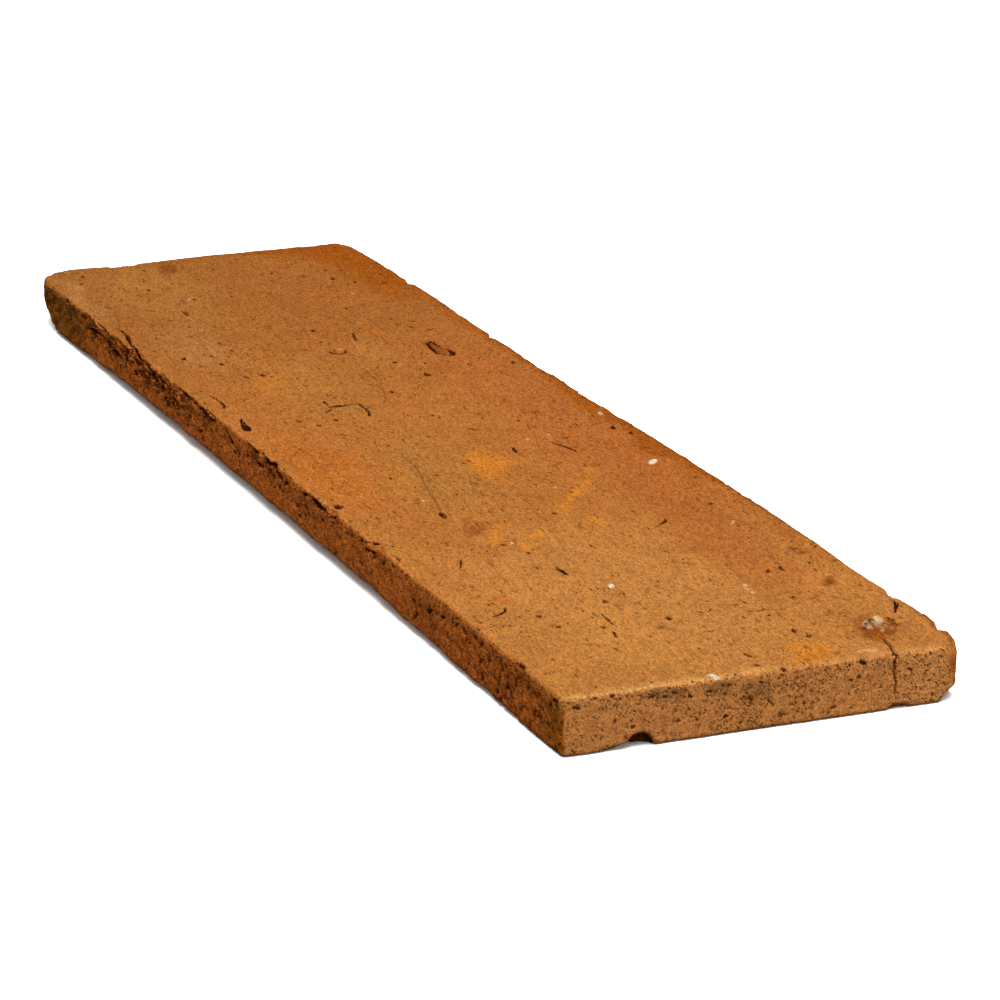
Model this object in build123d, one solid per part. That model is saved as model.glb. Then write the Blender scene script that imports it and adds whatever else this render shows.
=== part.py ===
from build123d import *

import os

# A hand-made terracotta floor tile: one long plank of fired clay, moulded flat, warped a little in drying
# and firing, with worn arrises and spalled corners. X runs along its length with the near end at +X,
# Y across its width with the front long side at -Y, and Z up from the bed that it lies on. The origin is
# at the centre of the bed. All sizes are in millimetres.

# Overall sizes
LENGTH = 600.0
WIDTH = 153.0
THICKNESS = 20.0  # at the two ends
CROWN_RISE = 1.6  # extra height of the walking face at mid length

# How far the outline leaves a true rectangle
FAR_END_SKEW = 3.0  # the far end's front corner stands this much further in
BACK_TAPER = 5.8  # the back side runs in by this much at the near end
BACK_WAVE = 3.4  # hand-struck wave of the back side
BACK_WAVE_SHARES = (  # (of the length, of the wave), inwards where above 0
    (0.44, -0.99),
    (0.39, -0.67),
    (0.3, -0.78),
    (0.14, -0.62),
    (0, -0.18),
    (-0.13, 0.25),
    (-0.25, -0.07),
    (-0.36, -0.27),
    (-0.41, -0.21),
)

# The plank's upright corners, each worn to its own radius
NEAR_FRONT_RADIUS = 2.0
NEAR_BACK_RADIUS = 7.0
FAR_BACK_RADIUS = 8.0
FAR_FRONT_RADIUS = 20.0

# Worn arrises
TOP_ARRIS = 1.2
BED_ARRIS = 1.0

# Firing lifted the bed off the floor along the front side
LIFT_RISE = 4.3  # highest gap, at the front side
LIFT_SPAN = 560.0  # length of the gap along the front side
LIFT_REACH = 95.0  # how far in from the front side the gap runs out
LIFT_CENTRE_SHARE = -0.03  # of the length, from mid length towards the near end

# Spalls: shallow round losses, each the bite of a ball into an arris or a corner
CORNER_SPALL_RADIUS = 70.0  # the near end's back corner
CORNER_TOP_BITE = 4.2
CORNER_BED_BITE = 5.0
UNDERCUT_RADIUS = 200.0  # under the far end's front corner
UNDERCUT_BITE = 14.2
FLAKE_RADIUS = 60.0  # long shallow losses of the front side's arrises
TOP_FLAKE_BITE = 2.0
BED_FLAKE_BITE = 1.3
CHIP_RADIUS = 12.0
CHIP_BITE = 2.2
FAR_CHIP_RADIUS = 15.0
FAR_CHIP_BITE = 5.0
NICK_RADIUS = 11.0
NICK_BITE = 1.6
BACK_NICK_RADIUS = 8.0
BACK_NICK_BITE = 2.0
NOTCH_RADIUS = 5.2  # the notch under the near end, and the slope that runs up to it
NOTCH_BITE = 4.8
SLOPE_RADIUS = 40.0
SLOPE_BITE = 1.4
NOTCH_SHARE = -0.316  # of the width, along the near end's bed arris
SLOPE_SHARE = -0.353
NEAR_NICK_SHARE = 0.31
FAR_CHIP_SHARE = -0.22  # of the width, along the far end's top arris
BACK_NICK_SHARES = (  # (of the length, of the wave), along the back side's top arris
    (0.468, -0.6),
    (0.409, -0.79),
    (-0.194, 0.1),
    (-0.362, -0.27),
)
TOP_FLAKE_SHARE = -0.25  # of the length, along the front side's top arris
TOP_CHIP_SHARE = 0.22
TOP_NICK_SHARES = (0.013, 0.04, 0.147)
BED_FLAKE_SHARE = 0.21  # of the length, along the front side's bed arris

OVERRUN = 10.0  # how far a cutting solid runs past what it cuts


def arc_radius(span, rise):
    """The radius of the arc that rises by so much over a span."""
    return (span / 2) ** 2 / (2 * rise) + rise / 2


def arc_height(distance, span, rise):
    """The height of that arc above its chord, at a distance from the middle."""
    radius = arc_radius(span, rise)
    return (radius**2 - distance**2) ** 0.5 - (radius - rise)


def crown_height(x):
    """The walking face's height at a place along the length."""
    return THICKNESS + arc_height(x, LENGTH, CROWN_RISE)


def plan_corners():
    """The outline's sharp corners and their worn radii, in order round the plank."""
    half_length, half_width = LENGTH / 2, WIDTH / 2
    return (
        (Vector(half_length, -half_width), NEAR_FRONT_RADIUS),
        (Vector(half_length, half_width - BACK_TAPER), NEAR_BACK_RADIUS),
        (Vector(-half_length, half_width), FAR_BACK_RADIUS),
        (Vector(-half_length + FAR_END_SKEW, -half_width), FAR_FRONT_RADIUS),
    )


def back_point(along_share, wave_share):
    """A point of the back side at a share of the length, set in by the taper and a share of the wave."""
    taper_share = along_share + 1 / 2
    return Vector(along_share * LENGTH, WIDTH / 2 - BACK_TAPER * taper_share - BACK_WAVE * wave_share)


def back_side(near_corner, far_corner):
    """The wavy back side, from the near end to the far end."""
    return Spline(near_corner, *(back_point(*shares) for shares in BACK_WAVE_SHARES), far_corner)


def moulded_plank():
    """The plank with its outline, worn upright corners, crowned walking face and worn arrises."""
    near_front, near_back, far_back, far_front = (corner for corner, _ in plan_corners())
    outline = make_face(
        [
            Line(near_front, near_back),
            back_side(near_back, far_back),
            Line(far_back, far_front),
            Line(far_front, near_front),
        ]
    )
    plank = extrude(outline, amount=THICKNESS + CROWN_RISE + OVERRUN)
    for corner, radius in plan_corners():
        upright = plank.edges().filter_by(Axis.Z).sort_by_distance(corner)[0]
        plank = fillet(upright, radius=radius)

    crown_radius = arc_radius(LENGTH, CROWN_RISE)
    crown = Cylinder(crown_radius, WIDTH + 2 * OVERRUN, rotation=(90, 0, 0))
    plank = plank & Pos(0, 0, THICKNESS + CROWN_RISE - crown_radius) * crown

    plank = fillet(plank.faces().sort_by(Axis.Z)[-1].edges(), radius=TOP_ARRIS)
    return fillet(plank.faces().sort_by(Axis.Z)[0].edges(), radius=BED_ARRIS)


def lifted_gap():
    """The gap under the front side: a large cylinder whose ridge falls to the bed further in."""
    radius = arc_radius(LIFT_SPAN, LIFT_RISE)
    ridge_start = (LIFT_CENTRE_SHARE * LENGTH, -WIDTH / 2, LIFT_RISE)
    ridge = Plane(origin=ridge_start, x_dir=(1, 0, 0), z_dir=(0, LIFT_REACH, -LIFT_RISE))
    return ridge * Pos(0, radius, 0) * Cylinder(radius, 2 * (LIFT_REACH + OVERRUN))


def spall(place, outward, radius, bite):
    """The ball that bites a given depth into an arris or corner, seen along its outward direction."""
    return Pos(*(place + outward.normalized() * (radius - bite))) * Sphere(radius)


def corner_spalls():
    """The losses at the near end's back corner, above and below, and under the far end's front corner."""
    _, (near_back, _), _, (far_front, _) = plan_corners()
    lift = Vector(0, 0, THICKNESS)
    return [
        spall(near_back + lift, Vector(1, 1, 1), CORNER_SPALL_RADIUS, CORNER_TOP_BITE),
        spall(near_back, Vector(1, 1, -1), CORNER_SPALL_RADIUS, CORNER_BED_BITE),
        spall(far_front, Vector(-3, -3, -8), UNDERCUT_RADIUS, UNDERCUT_BITE),
    ]


def end_spalls():
    """The losses along the two ends: notch, slope and nick under the near end, a chip of the far top."""
    near_x, far_x = LENGTH / 2, -LENGTH / 2
    notch = Vector(near_x, NOTCH_SHARE * WIDTH, 0)
    slope = Vector(near_x, SLOPE_SHARE * WIDTH, 0)
    near_nick = Vector(near_x, NEAR_NICK_SHARE * WIDTH, 0)
    far_chip = Vector(far_x, FAR_CHIP_SHARE * WIDTH, THICKNESS)
    return [
        spall(notch, Vector(1, 0, -1), NOTCH_RADIUS, NOTCH_BITE),
        spall(slope, Vector(1, 0, -1), SLOPE_RADIUS, SLOPE_BITE),
        spall(near_nick, Vector(1, 0, -1), NICK_RADIUS, NICK_BITE),
        spall(far_chip, Vector(-1, 0, 1), FAR_CHIP_RADIUS, FAR_CHIP_BITE),
    ]


def front_top_spall(share, radius, bite):
    """A loss of the front side's top arris, at a share of the length."""
    along = share * LENGTH
    return spall(Vector(along, -WIDTH / 2, crown_height(along)), Vector(0, -1, 1), radius, bite)


def back_top_spall(shares):
    """A nick of the back side's top arris, at shares of the length and of the wave."""
    place = back_point(*shares)
    lift = Vector(0, 0, crown_height(place.X))
    return spall(place + lift, Vector(0, 1, 1), BACK_NICK_RADIUS, BACK_NICK_BITE)


def side_spalls():
    """The losses along the two long sides."""
    cuts = [front_top_spall(TOP_FLAKE_SHARE, FLAKE_RADIUS, TOP_FLAKE_BITE)]
    cuts.append(front_top_spall(TOP_CHIP_SHARE, CHIP_RADIUS, CHIP_BITE))
    cuts.extend(front_top_spall(share, NICK_RADIUS, NICK_BITE) for share in TOP_NICK_SHARES)

    along = BED_FLAKE_SHARE * LENGTH
    gap = arc_height(along - LIFT_CENTRE_SHARE * LENGTH, LIFT_SPAN, LIFT_RISE)
    cuts.append(spall(Vector(along, -WIDTH / 2, gap), Vector(0, -1, -1), FLAKE_RADIUS, BED_FLAKE_BITE))

    cuts.extend(back_top_spall(shares) for shares in BACK_NICK_SHARES)
    return cuts


def terracotta_tile():
    """The finished tile, as one solid."""
    tile = moulded_plank() - lifted_gap()
    for cut in corner_spalls() + end_spalls() + side_spalls():
        tile = tile - cut
    return tile.solid()


os.makedirs("parts", exist_ok=True)
export_step(terracotta_tile(), "parts/terracotta_tile.step")
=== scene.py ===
import itertools
import math
from functools import partial, reduce

import bmesh
import bpy
import numpy as np
from mathutils import Euler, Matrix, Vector
from mathutils.bvhtree import BVHTree


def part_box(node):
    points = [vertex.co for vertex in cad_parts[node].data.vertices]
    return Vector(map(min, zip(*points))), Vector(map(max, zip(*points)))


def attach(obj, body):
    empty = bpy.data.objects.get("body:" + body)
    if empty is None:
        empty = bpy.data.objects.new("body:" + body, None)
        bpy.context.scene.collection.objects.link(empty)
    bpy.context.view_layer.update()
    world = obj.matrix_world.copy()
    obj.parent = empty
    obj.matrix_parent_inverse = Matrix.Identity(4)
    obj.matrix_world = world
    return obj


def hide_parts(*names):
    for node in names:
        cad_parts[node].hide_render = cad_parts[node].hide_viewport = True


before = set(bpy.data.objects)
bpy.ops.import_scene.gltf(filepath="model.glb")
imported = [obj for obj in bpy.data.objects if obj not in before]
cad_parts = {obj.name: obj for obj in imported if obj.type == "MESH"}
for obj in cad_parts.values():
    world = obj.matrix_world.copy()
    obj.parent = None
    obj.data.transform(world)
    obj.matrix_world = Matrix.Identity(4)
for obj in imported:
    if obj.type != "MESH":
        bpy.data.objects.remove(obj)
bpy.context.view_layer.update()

# The looks of a hand-made terracotta plank. The mesh is in metres. Places and sizes below are in
# millimetres, in the frame of the solid: X along the length with the near end at +X, Y across the width
# with the front side at -Y, and Z up from the bed. Turns are in degrees.
MM = 0.001
NODE = "terracotta_tile"
LOW, HIGH = (np.array(corner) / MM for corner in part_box(NODE))
THICKNESS = 20  # at the ends
CROWN = HIGH[2] - THICKNESS  # extra height at mid length
LIFT_RISE = 4.3  # the gap under the front side: its height, its middle and half its length
LIFT_MIDDLE = -18
LIFT_HALF = 280
BACK_LINE = (  # where the wavy back side stands: (x, y)
    (-300, 76.5), (-216, 76.6), (-150, 75.3), (-78, 73.5), (84, 74.9), (180, 74.5), (264, 74.4), (300, 70.7),
)
BED_SLOPE = (  # how far the near end's bed arris rises beside the notch: (y, height)
    (-61, 0), (-58, 0.5), (-55, 1.9), (-50.5, 3.3), (-49.5, 0),
)
SLOPE_REACH = (286, 299)  # x over which it grows to that height
NOTCH_MIDDLE = -48.3  # y of the notch under the near end
NOTCH_HALF = 7
NOTCH_HEIGHT = 6
NOTCH_INNER = 288
BROKEN_CORNER = (69, 3)  # (y, z) of the near end's lower back corner

# The mesh
WELD = 0.001  # vertices nearer than this become one
VOXEL = 2.6  # edge of the even faces that it starts from
UNDER_KEPT = 0.62  # share of the faces left after the underside is thinned

# Wear
PIT_DEPTH_SHARE = 0.75  # of a pit's width
PIT_DEEPEST = 1.6
GRIT_HEIGHT = 0.3
ARRIS_WEAR = {  # lumps lost along each top arris: size, depth, seed, stretch
    "front": (2.4, 1, 75, (2.4, 1.4, 1)),
    "back": (5.5, 0.6, 74, (2.4, 1.4, 1)),
    "near": (2.4, 0.35, 74, (1, 2, 1)),
    "far": (6, 0.6, 73, (1, 2, 1)),
}
DECAY_LEAST = 0.12
DECAY_SPELLS = (  # where the front side's top arris has crumbled: x, reach, depth
    (-268, 10, 0.3), (-213, 9, 0.5), (-150, 26, 0.8), (-85, 22, 0.5), (-52, 10, 0.8),
    (15, 20, 0.9), (70, 13, 0.6), (90, 5, 0.6), (131, 9, 0.6), (265, 6, 0.4),
)
OPENED_FROM = (-45, -95)  # stretches of x over which the front side's layers open and close again
OPENED_TO = (-225, -200)
RIDGED_FROM = (-200, -222)  # where that side's ridged far end begins

# Features of the walking face
TOP_PITS = (  # x, y, length, width, turn
    (235, -49.4, 2.9, 1.8, -25), (223, -51.6, 3, 1.6, 0), (241, -35.2, 2.9, 1.6, -10),
    (217.6, -23.8, 3.6, 1.7, -10), (241, -10.7, 3.7, 1.8, -10), (147.3, -32.9, 2.5, 1.6, 0),
    (159, -28, 2.3, 1.6, 0), (174.6, -12.3, 1.8, 1.1, 0), (119, 0.1, 2.5, 1.7, -10), (146.2, -5, 1.6, 1, 0),
    (107, -39.8, 8, 2.2, -8), (109, -21.7, 1.8, 1.1, 0), (267.4, 23.9, 4.7, 1.7, -10),
    (274, 26.4, 2.5, 1.8, -35), (236, 39.3, 3, 1.5, -50), (207.2, 44.2, 4.1, 1.5, -30),
    (205.6, 50.3, 5.2, 1.4, -8), (205, -60.8, 2.5, 1, 0), (264.5, -75.6, 5.9, 1.8, 0),
    (149, -74, 2.5, 1.5, 0), (283.6, -1.3, 5.2, 1.6, 18), (293, -2.7, 2.9, 1.7, 0),
    (299, 4.2, 2.2, 1.5, -30), (239.5, 2.3, 2.3, 1.5, 0), (235.4, 21.3, 4, 1, 8),
    (250.6, 22.8, 2.2, 1, -20), (130, 58.7, 2.9, 1.6, -15), (226, -69, 2.2, 0.9, -20),
    (84.8, -72.6, 5.6, 3.1, -20), (63.6, -47.7, 1.8, 1, 0), (58, -47.6, 1.6, 1, 0), (57, -41, 4, 1, -15),
    (-23.8, -32.7, 3, 2.2, 0), (-26.7, -46.6, 2.2, 1.4, 0), (-18.8, -41.8, 2.3, 1.5, 0),
    (-3.6, -37, 3.7, 1.4, 20), (59.2, -23, 1.7, 2.8, 0), (74.6, -12.6, 2.2, 0.9, -10),
    (46.4, -4.4, 2.5, 1.4, 0), (48.6, -7.4, 2.2, 1.1, -20), (-55, 3.6, 3.3, 1.6, -10),
    (-13.6, 8, 2.2, 1.1, -20), (-17, 5.9, 2.5, 1.1, -35), (71, 19.1, 1.8, 1, 0), (90.6, 19.6, 1.8, 1, 0),
    (68.4, 40.6, 2.8, 1.1, -15), (67.6, 35.6, 2.1, 1, 0), (-72, 26, 5.2, 2, -5),
    (28.4, 64.9, 4.6, 1.8, -20), (38, 68.5, 3.9, 1.4, -20), (-74, 65.6, 4.1, 1.7, -20),
    (-78, 47.6, 4.3, 1, 0), (-88, 31.7, 3, 1.1, -20), (-130.6, -60.2, 4.7, 1.9, -20),
    (-166, -60.6, 3.1, 1, -10), (-118.6, -48, 3.7, 2, -20), (-131.2, -47.6, 4, 1.5, 0),
    (-96.8, -37.6, 4, 2.3, -10), (-95.8, -45, 3.6, 1.5, 0), (-93.6, -34.6, 3.3, 1.1, 0),
    (-105.4, -41.4, 2.3, 1.1, 0), (-138, -36.5, 2.9, 1.3, 0), (-150.6, -37.4, 4.7, 1.3, 0),
    (-152.2, -32.7, 2.5, 1, -15), (-180, -41, 2.6, 1, 0), (-224.2, -29.4, 2.9, 1, -10),
    (-224.2, -24, 3.1, 1, -15), (-246, -38, 4.1, 1.3, -5), (-222.8, -6.8, 3.1, 1, -10),
    (-155.4, 6.5, 4.1, 1.5, -5), (-95, 20.6, 2.9, 1.5, 0), (-158.6, 44, 2.4, 1.4, -45),
    (-143, 47.3, 4.5, 1, 0), (-152, 51, 3.4, 1.6, 20), (-183.4, 32.7, 3.7, 1.2, -15),
    (-174.4, 37, 2.2, 1, -15), (-213.4, 39.7, 3.5, 1, 0), (-235.2, 45.6, 4.1, 1.5, -15),
    (-226.2, 53, 3.5, 1.3, -10), (-255, 23.4, 4.5, 0.9, -15), (-233, -54.4, 2.2, 0.9, 0),
    (-268, -62.6, 2.6, 1.4, 0), (-281, -58, 3.7, 1.5, 0), (-272, 1.4, 3.5, 1.2, 0),
)
TOP_STROKES = (  # gouges and hair cracks: depth, then points (x, y, half width) on the way
    (1.5, (186, -24.8, 0.6), (181, -25, 0.8), (177, -24.8, 0.4)),
    (0.5, (228.6, -30.5, 0.25), (233.8, -30.5, 0.4), (240, -31, 0.3)),
    (0.8, (246.4, -34.1, 0.35), (249.4, -34.6, 0.45), (252, -35, 0.3)),
    (0.6, (238.4, 1.2, 0.45), (239.6, 3, 0.4), (239.6, 5.4, 0.25), (236.8, 7.6, 0.2)),
    (0.4, (239.6, 6.2, 0.2), (239.8, 8.3, 0.25), (239.3, 12, 0.15)),
    (0.4, (267.4, 38.6, 0.2), (269, 42, 0.3), (270.8, 46, 0.2)),
    (1.2, (147, 28.4, 0.25), (144.2, 32, 0.35), (141.8, 34.6, 0.7), (139.6, 35.7, 0.4)),
    (0.5, (245.4, 16, 0.2), (245, 24, 0.35), (246, 31, 0.2)),
    (0.8, (218, -66, 0.4), (216.4, -62.6, 0.6), (214, -60, 0.4), (210, -58.6, 0.3)),
    (0.5, (166, -57, 0.2), (160, -54.2, 0.4), (158, -53.4, 0.2)),
    (2, (-20.4, -70.9, 1.3), (-24, -70.2, 1.6), (-29, -69.5, 1), (-37, -68.2, 0.3)),
    (0.8, (-53, -69.4, 0.3), (-58, -67.8, 0.6), (-64, -67.6, 0.3), (-73, -68.4, 0.3)),
    (1, (-24.6, -18.2, 0.3), (-28.6, -16.2, 0.6), (-34, -15.6, 0.6), (-42.6, -15.7, 0.3)),
    (0.9, (-42.1, -28, 0.8), (-42.3, -24, 1.3), (-42, -20.6, 0.6)),
    (0.7, (-42, -20.6, 0.6), (-43.6, -18, 0.5), (-42.6, -15.7, 0.5)),
    (0.6, (-35, -32.6, 0.3), (-38.6, -29.4, 0.5), (-39.8, -28.4, 0.3)),
    (0.6, (-44.6, -28, 0.3), (-50.6, -27.8, 0.5)),
    (0.35, (-39, -6, 0.2), (-46, -2.4, 0.35), (-56, 0.6, 0.35), (-70, 4, 0.3), (-90, 5.6, 0.2)),
    (0.35, (103.6, -38.7, 0.35), (76, -33, 0.3), (50, -27, 0.3), (33, -25.4, 0.2)),
    (1, (42.6, 17.6, 0.4), (38.6, 18.2, 0.7), (35, 19.2, 0.4)),
    (0.8, (50.8, 39.5, 0.3), (45.6, 38.8, 0.6), (40, 36.8, 0.6), (35, 35.2, 0.3)),
    (0.4, (64, 23.6, 0.2), (61.4, 27, 0.45), (58.6, 27.3, 0.3), (54, 23.6, 0.2)),
    (0.6, (-122.6, 1.4, 0.4), (-118.4, 2, 0.6), (-116.6, 4.6, 0.6), (-118, 7.6, 0.5), (-121.6, 8.4, 0.3)),
    (0.4, (-119, 3, 0.3), (-124, 4.6, 0.4)),
    (0.5, (-132, 18, 0.3), (-138, 19, 0.5), (-145, 21, 0.4)),
    (0.9, (-94.6, 46.8, 0.9), (-98.6, 48.2, 1.1), (-103.6, 47.8, 0.6)),
    (
        0.7, (-97, 44.6, 0.4), (-98.8, 41.6, 0.6), (-107, 42.2, 0.7), (-115, 43.4, 0.6), (-117.6, 46, 0.6),
        (-109, 46.6, 0.6),
    ),
    (
        1.6, (-139, -76.6, 0.4), (-152, -74.4, 0.4), (-162, -73.7, 0.5), (-169, -72.3, 0.9),
        (-175, -71, 0.6), (-188, -70.9, 0.3),
    ),
    (0.3, (-276, -12, 0.2), (-286, -9, 0.35), (-296, -7.2, 0.3)),
    (0.8, (-198, -35.4, 0.3), (-203, -35.2, 0.6), (-209, -35.8, 0.2)),
    (2, (303, 44.2, 0.5), (297, 46, 0.42), (291.9, 47.4, 0.42), (288.6, 47.9, 0.45), (283, 49.2, 0.35)),
    (1.8, (250.6, 70, 0.3), (254.3, 70.1, 0.6), (257.2, 68.8, 0.75), (260, 67, 0.5), (264, 64.6, 0.2)),
)
SCARS = (  # shallow flake scars: x, y, half length, half width, turn, depth
    (274.8, 53, 12, 5.4, -36, 1.2), (205, -57, 6, 4.4, -30, 0.5), (126, -35.8, 10.6, 4, -28, 0.7),
    (225.4, 58.4, 4.6, 2.4, -15, 0.7), (20.6, -55, 4, 3.4, 0, 0.1), (-283.6, -16.6, 13, 4.6, -8, 0.5),
)
GRIT = (  # pale grit: x, y, length, width, turn, paleness
    (203.6, -15, 4, 2.4, -15, 1), (297.8, -20.7, 5.6, 2, 12, 0.95), (219.4, 29, 3.6, 2.2, -30, 0.45),
    (226.6, 28.3, 3, 1.4, -15, 0.35), (222.6, 28.6, 2.4, 1.2, 0, 0.35), (146.4, -28.8, 2, 1.1, 0, 0.7),
    (153.6, 56.6, 4, 1.6, -35, 0.4), (120.8, 4.1, 1.5, 0.9, 0, 0.5), (75.4, 60.4, 7, 2.4, -37, 1),
    (87.4, -40.4, 1.9, 1.1, 0, 0.8), (89, 13.1, 2.4, 1.2, -35, 0.6), (-18, 9.4, 3.6, 1.2, -35, 0.3),
    (27.9, 28.5, 2.4, 1.1, -10, 0.6), (25.7, 38.3, 3, 0.9, -35, 0.4), (8.8, 68.2, 6, 1.4, -10, 0.5),
    (75.8, -59.8, 2.4, 1.2, 0, 0.3), (76, 66.3, 1.8, 0.9, -15, 0.4), (45, 28.6, 1.4, 0.8, 0, 0.4),
    (-224.6, -26.6, 5.6, 1.2, -20, 0.2), (-206, 44, 3, 1.2, -20, 0.2), (270.4, 50.6, 8, 3.2, -22, 0.4),
    (267.6, 56, 9, 3.8, -22, 0.45), (274.6, 53.4, 5, 2, -22, 0.25), (294.2, 37.8, 3.4, 9, 0, 0.12),
    (-123, 7, 3, 1.6, 0, 0.1), (58, -32.4, 2, 1.2, 0, 0.2),
)

# Features of the near end, with places (y, z)
END_PITS = (
    (-71.5, 16.9, 2.4, 1, -20), (-64.6, 19.2, 1.6, 1, 0), (-58.6, 19.3, 1.6, 1.6, 0),
    (-57.8, 15.9, 1.2, 0.9, 0), (-57.6, 10.3, 1.3, 1, -30), (-51, 7.5, 1.4, 1.1, 0),
    (-44.4, 16.8, 2, 0.9, 0), (-34.7, 7.2, 1.6, 1.1, -20), (-30.6, 15.2, 2, 1.1, -25),
    (-27.6, 6.5, 1.2, 0.9, 0), (-17.4, 6.3, 1.7, 1.4, 0), (-18.4, 17.2, 1.2, 0.9, 0),
    (-16.2, 17.1, 1.6, 0.9, 0), (-17.4, 14.3, 1.4, 0.8, -30), (-11.6, 3.2, 2, 0.9, 10),
    (-8.4, 11.1, 2.4, 1, -50), (-1, 8.9, 2.8, 0.9, -50), (33.4, 18.2, 2.6, 1.6, -20),
    (4, 20.4, 1.3, 0.8, 0), (18.7, 13.4, 2.2, 0.8, 8), (29.2, 12.9, 1.7, 0.9, -15),
    (31.9, 13.5, 1.3, 1, 40), (51.6, 13.4, 1.9, 1.1, -20), (57.6, 12.1, 1.1, 0.9, 0),
    (63, 16.5, 1.9, 0.7, -10), (40.4, 8.4, 1.1, 0.9, 0), (16.9, 7.5, 1.1, 0.8, -40),
    (11.6, 6.9, 1.3, 0.9, 0), (22.6, 4, 2.2, 0.9, 0), (29.2, 2.8, 1.3, 0.9, 0), (2.9, 4.1, 1.8, 0.8, -10),
    (59, 8.4, 1.1, 0.9, 0), (-23.4, 15.9, 2.6, 0.9, 0), (-36.4, 17.3, 2.2, 1, -10),
    (-39.6, 16.1, 2.4, 0.9, -10), (-48.6, 1.7, 4.6, 2.6, 0),
)
END_STROKES = (
    (
        1.8, (45.9, 20.4, 0.45), (46.1, 18.5, 0.45), (45.3, 17.2, 0.5), (45.6, 15.7, 0.5),
        (45.2, 13.5, 0.4), (46.2, 9.5, 0.34), (46, 6.7, 0.2), (46.5, 3.3, 0.14),
    ),
)
SOOT_SPOTS = (  # y, z, half length, half width, turn
    (-38, 17, 8, 3, 0), (-45, 18.5, 4, 2, 0), (-19, 16.4, 6.5, 3.2, 0), (-6, 14, 7, 4, 0),
)

# Features of the front side, with places (x, z)
FRONT_PITS = (
    (-245, 19.1, 5, 1.8, 0), (-268.6, 19.9, 4, 1.4, 0), (-213.6, 19.3, 5, 1.6, -10),
    (-206, 15.5, 4.4, 1.8, 10), (-176, 13.1, 6.5, 2.4, -8), (-183, 11.9, 4, 1.6, 0), (-182, 9.1, 4, 1.3, 0),
    (-160, 15.1, 4.4, 2.2, 0), (-125, 16.5, 5, 1.6, 0), (-110, 15.5, 4.4, 2.4, 0), (-91, 12.7, 4, 1.8, 0),
    (-84, 13.7, 3.6, 1.6, 0), (-97, 14.1, 4, 1.4, 0), (-61, 10.5, 2.6, 1, 20), (-60, 8.1, 4, 1, 0),
    (-6, 16.1, 2.4, 2.8, 0), (24.3, 15.7, 4, 1.6, 10), (31.4, 13.4, 3.2, 1.9, 0), (38, 17.1, 5, 1.4, 20),
    (51.4, 12.3, 4, 1.7, 10), (60.7, 14.4, 4, 1.5, 0), (53.6, 8.9, 3.6, 1.2, 0), (78.6, 14.8, 2.6, 1.4, 0),
    (91.4, 19.3, 4, 1.4, 0), (119.3, 10.4, 3.2, 1.5, 0), (140.7, 17.3, 2.6, 1.6, 30),
    (150, 18.9, 3, 1.4, 0), (119.4, 19.3, 2.4, 1.4, 0), (98, 14.1, 2.2, 1.2, 0), (172, 7.5, 5.5, 1.7, 35),
    (170, 12.7, 3, 1.4, 0), (185.3, 13.3, 4.2, 1.9, 25), (197.4, 15.2, 3.2, 1.7, 20),
    (192, 14.5, 2, 1.2, 0), (209.7, 16.3, 3, 1.6, 40), (216.6, 16.1, 4.6, 2, -10), (202, 10.1, 2, 1, 0),
    (232.9, 5.1, 3, 1.4, 0), (245.7, 4.5, 3.2, 1.5, 0), (249.6, 14.9, 3.8, 2.6, -20),
    (262, 13.7, 2.4, 1.6, 60), (255, 9.3, 3, 1.6, 50), (257.6, 7.7, 3, 1.4, 0), (267, 20.9, 4.2, 1.5, 0),
    (278, 14.7, 2.2, 1.4, 0), (282.4, 8.1, 2.4, 1.2, 0), (226, 17.1, 2.6, 1.6, 0),
    (230.6, 16.1, 2.2, 1.2, 0), (238, 12.9, 2.2, 1.2, 0), (221, 14.5, 1.8, 1, 0),
)
FRONT_STROKES = (
    (1.6, (-212, 14.9, 0.5), (-205, 16.1, 0.7), (-192, 16, 0.4), (-180, 15.7, 0.5)),
    (1.3, (-157, 20.4, 0.3), (-148, 17.5, 0.5), (-139, 14.1, 0.4)),
    (1.2, (-141, 20.1, 0.3), (-128, 19.1, 0.5), (-112, 18.1, 0.6), (-100, 17.5, 0.3)),
    (1.1, (-134, 16.9, 0.4), (-122, 15.9, 0.5), (-108, 14.7, 0.3)),
    (1.2, (-84, 19.9, 0.4), (-72, 20, 0.7), (-60, 19.3, 0.7), (-46, 18.5, 0.4)),
    (1.4, (-32, 19.7, 0.4), (-24, 16.5, 0.9), (-18, 14.5, 1.1), (-14, 14.1, 0.6)),
    (0.8, (-22, 13.1, 0.6), (-15, 12.9, 0.5)),
    (1.6, (-5, 21.1, 0.6), (6, 20, 0.7), (14, 20.6, 1.1), (20, 19.9, 0.9), (27, 20.6, 0.5)),
    (1.5, (26, 20.4, 0.8), (31, 18.6, 1), (35, 17.5, 0.5)),
    (1.2, (0, 17.6, 0.4), (8, 16.4, 0.8), (13, 16.8, 0.4)),
    (1.2, (16, 17.4, 0.4), (22, 16.9, 0.8), (26, 15.2, 0.4)),
    (1.5, (58, 19.2, 0.6), (66, 19.8, 1), (75, 19.2, 1.1), (82, 19.4, 0.5)),
    (1.2, (124, 20.1, 0.5), (130, 21.3, 0.7), (136, 22.1, 0.4)),
    (1, (124, 17.5, 0.5), (131, 18.3, 0.5)),
)

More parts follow.
